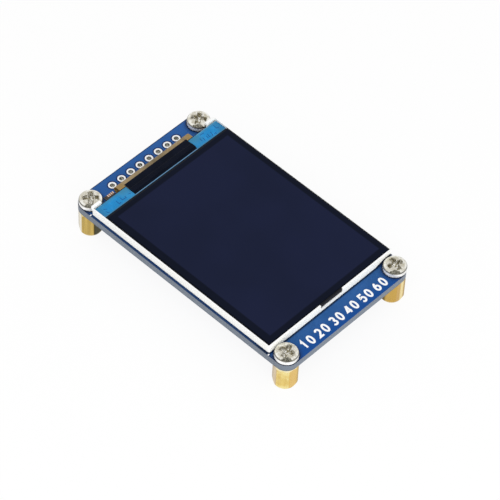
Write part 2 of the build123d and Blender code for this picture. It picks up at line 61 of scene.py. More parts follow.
class Look:
    """One procedural material, whose places are millimetres in the frame of the model."""

    sockets = {
        "rough": "Roughness", "metal": "Metallic", "specular": "Specular IOR Level", "coat": "Coat Weight",
        "coat_rough": "Coat Roughness", "transmission": "Transmission Weight", "ior": "IOR",
    }

    def __init__(self, name):
        self.material = bpy.data.materials.new(name)
        self.material.use_nodes = True
        tree = self.material.node_tree
        self.nodes = tree.nodes
        self.links = tree.links
        self.shader = self.nodes["Principled BSDF"]
        coordinates = self.node("TexCoord")
        self.place = self.stretched(coordinates.outputs["Object"], (1 / MM, 1 / MM, 1 / MM))
        self.x, self.y, self.z = self.node("SeparateXYZ", {0: self.place}).outputs
        self.facing = self.node("SeparateXYZ", {0: coordinates.outputs["Normal"]}).outputs
        self.last_bump = None
        self.colour = None

    def node(self, kind, inputs=None, **settings):
        """A new node with its settings, and with values or other nodes' outputs in its inputs."""
        node = self.nodes.new("ShaderNode" + kind)
        for key, value in settings.items():
            setattr(node, key, value)
        for key, value in (inputs or {}).items():
            self.put(node.inputs[key], value)
        return node

    def put(self, socket, value):
        """A fixed value, a colour or another node's output into one socket."""
        if isinstance(value, bpy.types.NodeSocket):
            self.links.new(value, socket)
        elif socket.type == "RGBA":
            socket.default_value = linear(*value)
        else:
            socket.default_value = value

    def stretched(self, vector, factors):
        return self.node("VectorMath", {0: vector, 1: factors}, operation="MULTIPLY").outputs[0]

    def math(self, operation, *values):
        return self.node("Math", dict(enumerate(values)), operation=operation).outputs[0]

    def times(self, first, *others):
        for other in others:
            first = self.math("MULTIPLY", first, other)
        return first

    def plus(self, first, second):
        return self.math("ADD", first, second)

    def minus(self, first, second):
        return self.math("SUBTRACT", first, second)

    def most(self, first, second):
        return self.math("MAXIMUM", first, second)

    def size(self, value):
        return self.math("ABSOLUTE", value)

    def wrap(self, value, pitch):
        return self.math("WRAP", value, 0.0, pitch)

    def reach(self, x, y):
        return self.math("SQRT", self.plus(self.times(x, x), self.times(y, y)))

    def noise(self, scale, detail=3.0, rough=0.55, stretch=None, distortion=0.0):
        inputs = {"Scale": scale, "Detail": detail, "Roughness": rough, "Distortion": distortion}
        inputs["Vector"] = self.stretched(self.place, stretch) if stretch else self.place
        return self.node("TexNoise", inputs).outputs["Fac"]

    def level(self, source, low, high, to_low=0.0, to_high=1.0):
        """Rises smoothly from to_low to to_high as the source goes from low to high."""
        inputs = {"Value": source, "From Min": low, "From Max": high, "To Min": to_low, "To Max": to_high}
        return self.node("MapRange", inputs, interpolation_type="SMOOTHSTEP").outputs["Result"]

    def below(self, source, low, high, share=1.0):
        """The whole share under low and none over high."""
        return self.level(source, low, high, share, 0.0)

    def span(self, source, low, high, soft=0.04):
        """One between low and high and none outside."""
        rise = self.level(source, low - soft, low + soft)
        return self.times(rise, self.below(source, high - soft, high + soft))

    def mix(self, share, first, second):
        return self.node("Mix", {0: share, 6: first, 7: second}, data_type="RGBA").outputs[2]

    def base(self, share, first, second):
        """The colour under all others, between two tones."""
        self.colour = self.mix(share, first, second)
        self.put(self.shader.inputs["Base Color"], self.colour)

    def paint(self, share, colour):
        """Lays one more colour over what is there."""
        self.base(share, self.colour, colour)

    def gloss(self, grain, smooth, rough, low=0.2, high=0.8):
        self.set(rough=self.level(grain, low, high, smooth, rough))

    def bump(self, height, strength, distance):
        inputs = {"Strength": strength, "Distance": distance * MM, "Height": height}
        if self.last_bump is not None:
            inputs["Normal"] = self.last_bump
        self.last_bump = self.node("Bump", inputs).outputs[0]
        self.put(self.shader.inputs["Normal"], self.last_bump)

    def set(self, **values):
        for key, value in values.items():
            self.put(self.shader.inputs[self.sockets[key]], value)


def plain_look(name, first, second, scale, gloss, detail=4.0, spread=(0.3, 0.7), band=(0.2, 0.8),
               specular=0.4, bump=(0.12, 0.01), **more):
    """A plain moulded, cast or coated surface: two near tones, and fine grain in its gloss and height."""
    look = Look(name)
    grain = look.noise(scale, detail)
    look.base(look.level(grain, *spread) if spread else grain, first, second)
    look.gloss(grain, *gloss, *band)
    look.set(specular=specular, **more)
    look.bump(grain, *bump)
    return look


# Board and solder

def board_look():
    look = Look("solder_mask")
    y = look.y
    broad = look.level(look.noise(0.12, 2.0), 0.35, 0.65)
    fine = look.noise(2.2, 4.0)
    look.base(broad, (35, 86, 150), (41, 93, 161))
    look.paint(look.below(y, -24.0, -10.0), look.mix(broad, (33, 81, 137), (40, 88, 148)))
    look.paint(look.below(y, -28.8, -25.0), (8, 70, 141))
    look.paint(look.level(fine, 0.45, 0.75, 0.0, 0.2), (20, 68, 128))
    # Painted shade on the narrow strip of board left of the frame.
    look.paint(look.below(look.x, -17.3, -16.8, 0.8), (30, 46, 76))
    # Painted shadow along the foot of the frame's front wall, and a painted shade line along the board's far
    # edge.
    foot = look.times(look.level(y, -24.34, -24.1, 0.0, 0.85), look.below(y, -22.0, -20.0))
    look.paint(look.most(foot, look.level(y, 28.74, 28.88, 0.0, 0.75)), (16, 34, 62))
    # Painted shade round the screw heads: a wide soft ring, and a dark ring at their foot.
    reach = corner_local(look, head_offset)[2]
    look.paint(look.below(reach, 2.5, 3.5, 0.6), (14, 42, 92))
    look.paint(look.below(reach, 2.4, 2.85, 0.9), (12, 24, 44))
    fibre = look.noise(3.0, 3.0, stretch=(1.0, 1.0, 7.0))
    glass = look.mix(look.level(fibre, 0.35, 0.7), (101, 110, 122), (124, 132, 143))
    lamina = look.span(look.z, board_bottom, 6.16, 0.05)
    glass = look.mix(look.times(lamina, 0.5), glass, (62, 78, 100))
    look.paint(look.span(look.z, board_bottom + 0.02, board_top - 0.02, 0.01), glass)
    look.gloss(fine, 0.28, 0.42)
    look.set(specular=0.14)
    look.bump(fine, 0.08, 0.012)
    look.bump(look.noise(14.0, 2.0), 0.05, 0.01)
    return look


def tin_look(name, light, dark, rough):
    look = Look(name)
    dimple = look.noise(11.0, 2.0)
    look.base(look.level(look.noise(3.5, 4.0), 0.3, 0.7), dark, light)
    look.gloss(dimple, rough - 0.08, rough + 0.14)
    look.set(metal=0.85)
    look.bump(dimple, 0.2, 0.02)
    return look


def header_look():
    """White bright rings with a duller plated bore, in which dross and shade gather."""
    look = Look("header_tin")
    grain = look.noise(3.0, 4.0)
    local_x = look.minus(look.wrap(look.x, header_pitch), header_pitch / 2)
    local_y = look.minus(look.size(look.y), header_y)
    bore = look.below(look.reach(local_x, local_y), 0.49, 0.52)
    look.base(look.level(grain, 0.3, 0.7), (248, 249, 248), (255, 255, 255))
    look.paint(bore, look.mix(look.level(look.noise(3.0, 3.0), 0.42, 0.6), (92, 92, 82), (214, 213, 200)))
    look.gloss(grain, 0.3, 0.5)
    look.set(metal=look.level(bore, 0.0, 1.0, 0.1, 0.8))
    look.bump(look.noise(8.0, 3.0), 0.18, 0.02)
    return look


# Screws and standoffs

def corner_local(look, offset=0.0):
    """Coordinates from the axis of the nearest screw, with the front right one offset, and their reach."""
    local_x = look.minus(look.x, look.times(look.math("SIGN", look.x), hole_x))
    local_y = look.minus(look.y, look.times(look.math("SIGN", look.y), hole_y))
    if offset:
        here = look.times(look.level(look.x, 0.0, 0.1), look.below(look.y, 0.0, 0.1))
        local_x = look.minus(local_x, look.times(here, offset))
    return local_x, local_y, look.reach(local_x, local_y)


def rightwards(look, local_x, local_y):
    """How far a place lies to the right of a screw's axis, as seen from the near left corner."""
    return look.minus(look.times(local_x, 0.67), look.times(local_y, 0.742))


def crown_look():
    look = Look("screw_crown")
    local_x, local_y, reach = corner_local(look, head_offset)
    # The crown's tones, specks and blotches are painted reflections of the surroundings on the metal.
    cloud = look.noise(1.1, 3.0, 0.6)
    fine = look.noise(4.5, 4.0, 0.6)
    look.base(look.level(cloud, 0.38, 0.62), (212, 208, 194), (247, 246, 240))
    look.paint(look.level(fine, 0.5, 0.72, 0.0, 0.5), (166, 160, 138))
    blotch = look.level(look.noise(1.7, 3.0, 0.6), 0.44, 0.56, 0.15, 0.6)
    look.paint(look.times(look.below(reach, 1.7, 2.05), blotch), (176, 169, 148))
    # A wavy dark crescent on the crown's near side: painted reflection.
    nearest = look.plus(look.times(local_x, -0.742), look.times(local_y, -0.67))
    sideways = rightwards(look, local_x, local_y)
    curve = look.times(sideways, sideways, -0.3)
    wave = look.times(look.minus(look.noise(1.9, 2.0), 0.5), 1.1)
    low = look.level(look.plus(look.plus(nearest, wave), curve), 1.5, 1.62)
    top = look.level(look.z, 8.62, 8.72)
    look.paint(look.times(low, top), look.mix(look.level(fine, 0.42, 0.58), (70, 69, 60), (150, 147, 134)))
    # A dark ring where the crown turns down: painted reflection.
    edge = look.times(look.span(reach, 2.24, 2.38, 0.04), look.level(cloud, 0.4, 0.6, 0.6, 0.95))
    look.paint(edge, (84, 82, 74))
    # The side of the head is painted near white as a highlight, with painted shade at its foot on the board.
    side = look.below(look.z, 8.38, 8.56)
    wall = look.mix(look.level(look.noise(0.7, 2.0), 0.42, 0.6), (252, 252, 252), (226, 226, 224))
    look.paint(side, look.mix(look.below(look.z, 7.6, 7.76, 0.85), wall, (96, 98, 100)))
    look.gloss(fine, 0.16, 0.34, 0.25, 0.75)
    look.set(metal=look.level(side, 0.0, 1.0, 1.0, 0.3))
    look.bump(fine, 0.16, 0.02)
    look.bump(look.noise(18.0, 2.0), 0.1, 0.006)
    return look


def recess_look():
    """A bright recess whose walls mirror each other in blotches and thin dark lines."""
    look = Look("screw_recess")
    fine = look.noise(4.0, 4.0)
    blotch = look.noise(1.9, 3.0, 0.6, distortion=0.5)
    look.base(look.level(blotch, 0.46, 0.54), (160, 152, 124), (255, 253, 246))
    for scale, width in ((2.3, 0.045), (3.6, 0.03)):
        line = look.size(look.minus(look.noise(scale, 2.0), 0.5))
        look.paint(look.below(line, 0.0, width, 0.92), (62, 57, 40))
    look.gloss(fine, 0.24, 0.4, 0.25, 0.75)
    look.set(metal=0.7)
    look.bump(fine, 0.2, 0.03)
    return look


def brass_look():
    look = Look("turned_brass")
    local_x, local_y, reach = corner_local(look)
    left = look.below(look.x, 0.0, 0.1)
    right = look.level(look.x, 0.0, 0.1)
    slanted = look.plus(look.times(look.facing["X"], -0.866), look.times(look.facing["Y"], 0.5))
    towards_left = look.level(slanted, 0.75, 0.95)
    towards_front = look.level(look.times(look.facing["Y"], -1.0), 0.75, 0.95)
    streak = look.noise(2.4, 3.0, stretch=(1.0, 1.0, 0.14))
    look.base(look.level(look.noise(0.55, 2.0), 0.35, 0.65), (234, 206, 122), (247, 230, 160))
    look.paint(look.level(streak, 0.45, 0.7, 0.0, 0.4), (214, 176, 94))
    # Facets turned to the left and to the front get their own tones: painted light and shade.
    look.paint(look.times(towards_left, 0.85), (200, 170, 120))
    look.paint(look.times(towards_front, 0.8), (224, 180, 84))
    # The back left standoff is painted darker, with a pale left facet, a near-black front facet and a
    # brighter band: painted reflections and shade.
    far_left = look.times(left, look.level(look.y, 0.0, 0.1))
    band = look.level(look.noise(1.6, 1.0, stretch=(1.0, 1.0, 0.05)), 0.42, 0.6, 0.0, 0.7)
    for share, colour in ((0.85, (176, 146, 74)), (band, (214, 184, 104)), (towards_left, (226, 216, 190)),
                          (towards_front, (60, 56, 24))):
        look.paint(look.times(far_left, share), colour)
    sideways = rightwards(look, local_x, local_y)
    # Standoffs on the right are painted darker, with a painted highlight towards their right and painted
    # shade towards their left; all standoffs get dark painted reflections at their outlines.
    look.paint(look.times(right, 0.85), (200, 160, 78))
    look.paint(look.times(right, look.span(sideways, 1.6, 2.15, 0.12), 0.8), (246, 230, 172))
    look.paint(look.times(right, look.below(sideways, -1.5, -1.0), 0.85), (84, 72, 36))
    look.paint(look.level(look.size(sideways), 2.1, 2.3, 0.0, 0.4), (136, 120, 84))
    # Bright painted highlights at the foot and along a wavy line near the top, strongest on the front left
    # standoff.
    glint_height = look.plus(look.z, look.times(look.minus(look.noise(0.9, 1.0), 0.5), 1.6))
    rim = look.most(look.below(look.z, 0.1, 0.5), look.level(glint_height, 5.3, 5.6))
    near = look.times(left, look.below(look.y, 0.0, 0.1))
    look.paint(look.times(rim, look.level(near, 0.0, 1.0, 0.4, 0.75)), (253, 243, 204))
    # Painted shade in the bore.
    look.paint(look.below(reach, 1.5, 1.7, 0.6), (150, 116, 52))
    look.gloss(streak, 0.16, 0.32)
    look.set(metal=1.0)
    look.bump(streak, 0.15, 0.02)
    look.bump(look.noise(9.0, 3.0), 0.06, 0.01)
    return look


# Screen stack

def frame_look():
    look = Look("white_frame")
    grain = look.noise(1.6, 3.0)
    look.base(look.level(look.noise(0.25, 2.0), 0.35, 0.65), (248, 249, 248), (254, 254, 254))
    # Faces towards the front are painted a touch brighter and faces to the left darker: painted light and
    # shade.
    look.paint(look.below(look.facing["Y"], -0.95, -0.6), (255, 255, 249))
    look.paint(look.below(look.facing["X"], -0.95, -0.6), (240, 240, 237))
    # Painted shade on the low back wall between the lips.
    hollow = look.times(look.level(look.y, 23.55, 23.62), look.below(look.z, 8.66, 8.72),
                        look.below(look.size(look.x), 14.55, 14.7))
    look.paint(hollow, (34, 46, 58))
    look.gloss(grain, 0.36, 0.48)
    look.set(specular=0.3)
    look.bump(grain, 0.02, 0.01)
    return look


def polariser_look():
    look = Look("polariser_face")
    drift = look.level(look.noise(0.06, 2.0), 0.35, 0.65)
    active = look.times(look.span(look.x, -15.05, 15.4, 0.16), look.span(look.y, -22.15, 18.85, 0.16))
    look.base(drift, (8, 14, 30), (10, 16, 33))
    look.paint(active, look.mix(drift, (21, 27, 51), (23, 29, 55)))
    look.gloss(look.noise(0.8, 2.0), 0.2, 0.26, 0.3, 0.7)
    look.set(specular=0.05)
    look.bump(look.noise(1.6, 2.0), 0.02, 0.01)
    return look


def ledge_look():
    """Blue glass, paler along its edges and greyer by its sides as a painted reflection of the frame, with a
    dark strip by the screen, painted shade under the cover and a bright gap by the cover.
    """
    look = Look("blue_ledge")
    x = look.x
    y = look.y
    look.base(look.level(look.noise(0.35, 3.0), 0.38, 0.62), (32, 134, 196), (44, 152, 218))
    # Greyer towards the sides: painted reflection of the frame.
    look.paint(look.level(look.size(x), 14.4, 16.4, 0.0, 0.7), (50, 118, 160))
    pale = look.most(look.level(y, 22.7, 23.5), look.below(y, 20.8, 21.1))
    look.paint(look.times(pale, 0.65), (62, 128, 160))
    near_flex = look.most(look.span(x, -10.6, -7.6, 0.8), look.span(x, 8.8, 11.6, 0.8))
    look.paint(look.times(near_flex, look.level(y, 20.8, 23.2, 0.15, 0.85)), (60, 130, 166))
    look.paint(look.below(y, 20.8, 20.95, 0.35), (104, 142, 168))
    look.paint(look.times(look.level(x, 11.0, 11.6), look.level(y, 23.4, 23.5, 0.0, 0.6)), (126, 178, 210))
    covered = look.span(x, -8.25, 8.97, 0.05)
    look.paint(look.times(covered, 0.9), (108, 152, 188))
    # Painted shade under the cover tape.
    look.paint(look.times(covered, look.level(y, 20.9, 20.96)), (10, 24, 44))
    look.paint(look.below(y, 20.71, 20.77), (0, 18, 42))
    look.paint(look.below(look.z, ledge_level - 0.06, ledge_level - 0.02), (30, 66, 88))
    look.gloss(look.noise(1.4, 3.0), 0.12, 0.2, 0.3, 0.7)
    look.set(specular=0.1, coat=0.04, coat_rough=0.08)
    look.bump(look.noise(1.1, 2.0), 0.04, 0.02)
    return look


def cover_look():
    look = Look("cover_tape")
    grain = look.noise(6.0, 4.0)
    look.base(look.level(look.noise(0.4, 2.0), 0.35, 0.65), (8, 13, 26), (12, 17, 31))
    look.gloss(grain, 0.42, 0.58)
    look.set(specular=0.045)
    look.bump(look.noise(0.7, 2.0), 0.02, 0.05)
    look.bump(grain, 0.05, 0.01)
    return look


def tab_look():
    look = Look("rim_tape")
    grain = look.noise(5.0, 4.0)
    # Dark at its foot as a painted shadow in the notch; only the front face above it is grey.
    look.base(look.below(look.z, 8.72, 8.86), (38, 38, 42), (12, 12, 15))
    look.paint(look.level(look.y, -23.72, -23.69), (8, 8, 11))
    look.gloss(grain, 0.45, 0.6)
    look.set(specular=0.06)
    look.bump(grain, 0.15, 0.01)
    return look


def main_flex_look():
    look = Look("gold_flex")
    cloud = look.noise(0.9, 4.0, 0.6)
    look.base(look.level(cloud, 0.36, 0.64), (126, 106, 72), (158, 134, 92))
    line = look.span(look.wrap(look.y, 0.42), 0.1, 0.22, 0.03)
    look.paint(look.times(line, 0.4), (104, 90, 68))
    cells = look.node("TexVoronoi", {"Vector": look.stretched(look.place, (1.0, 0.3, 1.0)), "Scale": 0.8})
    patch = look.level(cells.outputs["Distance"], 0.28, 0.62, 0.0, 0.5)
    look.paint(patch, (162, 142, 110))
    look.paint(look.span(look.x, -2.6, 3.4, 1.2), look.mix(patch, (112, 98, 70), (136, 118, 88)))
    ends = look.most(look.below(look.x, -8.6, -7.9), look.level(look.x, 9.0, 9.8))
    look.paint(look.times(ends, 0.8), (152, 124, 74))
    look.gloss(cloud, 0.3, 0.44, 0.3, 0.7)
    look.set(metal=0.1, specular=0.25)
    look.bump(line, 0.25, 0.012)
    look.bump(look.noise(1.2, 3.0), 0.12, 0.03)
    return look


def tail_look():
    look = Look("copper_tail")
    cloud = look.noise(1.0, 3.0)
    look.base(look.level(cloud, 0.35, 0.65), (128, 82, 56), (148, 100, 72))
    bars = look.span(look.wrap(look.x, 0.45), 0.1, 0.32, 0.03)
    look.paint(look.times(bars, 0.9), (244, 218, 198))
    # Near-black at its inner side and left end: painted shade where it runs in under the ledge.
    dark = look.most(look.below(look.x, -11.85, -11.6), look.below(look.y, 24.9, 25.02))
    look.paint(look.times(dark, 0.95), (22, 28, 28))
    look.gloss(cloud, 0.28, 0.42, 0.3, 0.7)
    look.set(metal=0.3)
    look.bump(bars, 0.3, 0.02)
    return look


looks = {
    "board": board_look(), "header": header_look(), "crown": crown_look(), "recess": recess_look(),
    "brass": brass_look(), "frame": frame_look(), "polariser": polariser_look(), "ledge": ledge_look(),
    "cover": cover_look(), "tab": tab_look(), "main_flex": main_flex_look(), "tail": tail_look(),
    "tin": tin_look("tin", (238, 238, 234), (196, 197, 194), 0.3),
    "solder": tin_look("solder", (226, 228, 230), (178, 180, 184), 0.24),
    "pin": tin_look("contact_tin", (232, 230, 222), (188, 184, 172), 0.26),
    "shank": tin_look("screw_shank", (206, 204, 198), (160, 158, 150), 0.26),
    "print": plain_look("silkscreen", (240, 241, 242), (252, 252, 252), 9.0, (0.5, 0.68), 4.0, (0.25, 0.75),
                        specular=0.3, bump=(0.25, 0.008)),
    "clearance": plain_look("mask_clearance", (12, 34, 84), (20, 48, 104), 6.0, (0.4, 0.6), 3.0, None,
                            specular=0.2, bump=(0.2, 0.01)),
    "trace": plain_look("masked_trace", (30, 92, 172), (44, 110, 190), 3.0, (0.26, 0.4), 3.0, None,
                        specular=0.25, bump=(0.1, 0.01)),
    "seal": plain_look("sealed_glass", (5, 8, 14), (11, 15, 24), 2.0, (0.12, 0.22), 3.0, None, (0.3, 0.7),
                       0.15, (0.04, 0.01)),
    "ledge_mark": plain_look("ledge_mark", (10, 76, 138), (18, 90, 156), 4.0, (0.2, 0.35), 2.0, None,
                             (0.3, 0.7), 0.2, (0.05, 0.004)),
    "clear": plain_look("light_guide", (214, 222, 226), (232, 238, 240), 1.2, (0.09, 0.25), specular=0.5,
                        transmission=0.6, ior=1.49),
    # The tape and the reflector film are coloured dark as painted shade under the frame; the film's blue-grey
    # is also a painted reflection of the board.
    "mount_tape": plain_look("adhesive_tape", (20, 28, 48), (30, 40, 64), 5.0, (0.53, 0.69), specular=0.1),
    "reflector": plain_look("mirror_film", (74, 84, 108), (92, 102, 124), 1.5, (0.23, 0.39), metal=0.6),
    "diffuser": plain_look("optical_film", (220, 224, 228), (236, 238, 240), 3.0, (0.28, 0.44)),
    "led": plain_look("led_housing", (226, 228, 224), (242, 242, 238), 4.0, (0.33, 0.49)),
    "silicon": plain_look("driver_silicon", (52, 54, 62), (74, 76, 86), 2.0, (0.13, 0.29)),
    "socket": plain_look("socket_nylon", (226, 220, 202), (238, 233, 218), 3.5, (0.35, 0.51), specular=0.35,
                         bump=(0.12, 0.02)),
    "chip": plain_look("chip_epoxy", (30, 31, 34), (44, 45, 48), 12.0, (0.43, 0.59), specular=0.3,
                       bump=(0.3, 0.02)),
    "chip_dot": plain_look("chip_dimple", (58, 60, 64), (74, 76, 80), 8.0, (0.28, 0.44), specular=0.3),
    "capacitor": plain_look("ceramic_tan", (150, 114, 78), (180, 142, 104), 5.0, (0.33, 0.49),
                            bump=(0.12, 0.02)),
    "resistor": plain_look("resistor_glaze", (22, 22, 26), (38, 38, 44), 6.0, (0.23, 0.39)),
}


# Mesh helpers

def even(steps):
    """Angles spread evenly over one turn."""
    return [2 * pi * index / steps for index in range(steps)]


def ring(centre, radius, level, angles):
    """Points round a centre at one level; radius is one value, or a list with one for each angle."""
    radii = radius if isinstance(radius, list) else [radius] * len(angles)
    return [(centre[0] + r * cos(a), centre[1] + r * sin(a), level) for r, a in zip(radii, angles)]


def around(middle, half):
    return middle - half, middle + half


def sided(side, near, far):
    """A span from near to far on the side -1 or 1 of zero."""
    return sorted((side * near, side * far))


class Shape:
    """Points and faces of one piece, in millimetres; a face's tag is its material."""

    def __init__(self):
        self.points = []
        self.faces = []
        self.tags = []

    def add(self, points, faces, tags):
        """New points with faces on them; tags is one tag for all of these faces, or a list."""
        base = len(self.points)
        self.points += points
        self.faces += [[base + index for index in face] for face in faces]
        self.tags += tags if isinstance(tags, list) else [tags] * len(faces)

    def prism(self, outline, low, high, tag=0):
        """A straight sided solid over an outline."""
        count = len(outline)
        points = [(x, y, level) for level in (low, high) for x, y in outline]
        faces = [list(range(count))[::-1], list(range(count, 2 * count))]
        faces += [[i, (i + 1) % count, count + (i + 1) % count, count + i] for i in range(count)]
        self.add(points, faces, tag)

    def box(self, xs, ys, zs):
        self.prism([(xs[0], ys[0]), (xs[1], ys[0]), (xs[1], ys[1]), (xs[0], ys[1])], *zs)

    def loft(self, rows, tags=0, wrap_rows=False, ends=False):
        """Joins rows of equally many points, each a closed loop; ends fills the first and the last."""
        count = len(rows[0])
        faces = []
        for i in range(len(rows) if wrap_rows else len(rows) - 1):
            first = i * count
            second = (i + 1) % len(rows) * count
            for j in range(count):
                k = (j + 1) % count
                faces.append([first + j, first + k, second + k, second + j])
        if ends:
            last = (len(rows) - 1) * count
            faces += [list(range(count)), list(range(last, last + count))]
        self.add([point for row in rows for point in row], faces, tags)

    def fan(self, point, first, count, tag):
        """Triangles from one point to a loop of points whose first has the index first."""
        hub = len(self.points)
        self.points.append(point)
        self.faces += [[hub, first + j, first + (j + 1) % count] for j in range(count)]
        self.tags += [tag] * count

    def turned(self, profile, centre, steps):
        """Turns a closed profile of (radius, level) points about an upright axis."""
        self.loft([ring(centre, radius, level, even(steps)) for radius, level in profile], wrap_rows=True)

    def disc(self, centre, radius, low, high, steps, tag=0):
        self.prism([point[:2] for point in ring(centre, radius, low, even(steps))], low, high, tag)

    def ribbon(self, path, width, low, high):
        """A flat strip of even width along a line of (x, y) points, with mitred corners."""
        rows = []
        last = len(path) - 1
        closed = hypot(path[0][0] - path[last][0], path[0][1] - path[last][1]) < 0.001
        for index, (x, y) in enumerate(path):
            before = path[index - 1 if index else last - 1 if closed else 0]
            after = path[index + 1 if index < last else 1 if closed else last]
            first = Vector((x - before[0], y - before[1]))
            second = Vector((after[0] - x, after[1] - y))
            if first.length == 0:
                first = second
            if second.length == 0:
                second = first
            first = first.normalized()
            along = (first + second.normalized()).normalized()
            across = Vector((-along.y, along.x))
            across *= width / 2 / max(0.35, across.dot(Vector((-first.y, first.x))))
            left = (x + across.x, y + across.y)
            right = (x - across.x, y - across.y)
            rows.append([(*left, low), (*left, high), (*right, high), (*right, low)])
        self.loft(rows[:last] if closed else rows, wrap_rows=closed, ends=not closed)


def rounded_outline(xs, ys, radius, steps=3):
    """The outline of a rectangle with rounded corners."""
    out = []
    centres = [(xs[1] - radius, ys[0] + radius, -90), (xs[1] - radius, ys[1] - radius, 0),
               (xs[0] + radius, ys[1] - radius, 90), (xs[0] + radius, ys[0] + radius, 180)]
    for cx, cy, start in centres:
        for step in range(steps + 1):
            angle = radians(start + 90 * step / steps)
            out.append((cx + radius * cos(angle), cy + radius * sin(angle)))
    return out


def in_scene(name, data):
    """A new object of some data, linked to the scene."""
    obj = bpy.data.objects.new(name, data)
    bpy.context.scene.collection.objects.link(obj)
    return obj


def place(mesh, stands_for, angle):
    """The piece of a mesh, smooth save at edges sharper than the angle, with flat faces kept flat."""
    obj = in_scene(mesh.name, mesh)
    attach(obj, "root")
    if stands_for:
        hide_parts(*stands_for)
    mesh.polygons.foreach_set("use_smooth", [True] * len(mesh.polygons))
    mesh.set_sharp_from_angle(angle=radians(angle))
    obj.modifiers.new("normals", "WEIGHTED_NORMAL").keep_sharp = True


def piece(name, shape, surfaces, stands_for=(), smooth=30):
    """Makes one piece of a shape, with coinciding points joined; the face tags count through surfaces."""
    mesh = bpy.data.meshes.new(name)
    mesh.from_pydata([(x * MM, y * MM, z * MM) for x, y, z in shape.points], [], shape.faces)
    for surface in surfaces:
        mesh.materials.append(looks[surface].material)
    mesh.polygons.foreach_set("material_index", shape.tags)
    build = bmesh.new()
    build.from_mesh(mesh)
    bmesh.ops.remove_doubles(build, verts=build.verts, dist=0.0004 * MM)
    bmesh.ops.recalc_face_normals(build, faces=build.faces)
    build.to_mesh(mesh)
    build.free()
    place(mesh, stands_for, smooth)


def softened(name, node, slot, surface, width, shift=None, cuts=()):
    """A copy of a node with rounded edges, cut first at some x and with points shifted, stands for it."""
    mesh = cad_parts[node].data.copy()
    mesh.name = name
    build = bmesh.new()
    build.from_mesh(mesh)
    bmesh.ops.remove_doubles(build, verts=build.verts, dist=0.0005 * MM)
    bmesh.ops.dissolve_limit(build, angle_limit=radians(1.0), verts=build.verts, edges=build.edges)
    for cut in cuts:
        bmesh.ops.bisect_plane(build, geom=build.verts[:] + build.edges[:] + build.faces[:],
                               plane_co=(cut * MM, 0, 0), plane_no=(1, 0, 0))
    for vertex in build.verts if shift else ():
        vertex.co += Vector(shift(*(vertex.co / MM))) * MM
    if width:
        sharp = [edge for edge in build.edges
                 if len(edge.link_faces) == 2 and edge.calc_face_angle() > radians(28)]
        bmesh.ops.bevel(build, geom=sharp, offset=width * MM, offset_type="OFFSET", segments=2, profile=0.5,
                        affect="EDGES", clamp_overlap=True)
    build.to_mesh(mesh)
    build.free()
    mesh.materials.clear()
    mesh.materials.append(looks[surface].material)
    place(mesh, (node,), 60)


# Nodes shown as they come

node_looks = {
    "pcb": "board", "display_tape": "mount_tape", "reflector_film": "reflector", "light_guide": "clear",
    "diffuser_film": "diffuser", "prism_film_lower": "diffuser", "prism_film_upper": "diffuser",
    "lower_polariser": "seal", "backlight_flex": "tail", "backlight_leds": "led", "driver_chip": "silicon",
    "flex_solder_pads": "tin", "cover_tape": "cover",
}
for name, surface in node_looks.items():
    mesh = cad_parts[name].data
    mesh.materials.clear()
    mesh.materials.append(looks[surface].material)


# Screws

crown_radius = 2.1
crown_level = 8.85
crown_rise = 0.45
dome_radius = (crown_radius ** 2 + crown_rise ** 2) / (2 * crown_rise)
dome_centre = crown_level + crown_rise - dome_radius
crown_rings = [0.045 * index for index in range(1, 39)] + [1.78, 1.87, 1.96, 2.03]
head_side = [(2.12, 8.845), (2.2, 8.8), (2.28, 8.73), (2.34, 8.64), (2.38, 8.53), (2.4, 8.4), (2.4, 7.8),
             (2.385, 7.68), (2.34, 7.61), (2.28, 7.6), (1.5, 7.6)]
head_steps = 144
shank_radius = 1.25
shank_end = 3.6
shank_side = [(shank_radius, 7.62), (shank_radius, shank_end + 0.25), (shank_radius - 0.25, shank_end)]
shank_steps = 48
recess_half = 1.6
recess_depth = 0.85
recess_slope = 3.2
recess_middle = 0.66
recess_seen = 0.07
wing_half = 0.56


def soft_min(first, second, blend):
    """The lesser of two heights, with a rounded change from one to the other."""
    share = max(0.0, min(1.0, 0.5 + 0.5 * (second - first) / blend))
    return second + (first - second) * share - blend * share * (1 - share)


def wing_depth(along, across):
    """Depth of one wing of the cross recess, at a place along and across it."""
    end = (recess_half - along) / tan(radians(20))
    side = (wing_half - across) * recess_slope
    return soft_min(soft_min(end, side, 0.1), recess_depth, 0.12)


def recess(x, y, turn):
    """Depth of the cross recess below the crown of a screw turned by an angle."""
    u = abs(x * cos(turn) + y * sin(turn))
    v = abs(y * cos(turn) - x * sin(turn))
    middle = (recess_middle - hypot(x, y)) * recess_slope
    depth = -soft_min(-wing_depth(u, v), -wing_depth(v, u), 0.1)
    depth = -soft_min(-depth, -min(middle, recess_depth), 0.1)
    return max(0.0, depth)


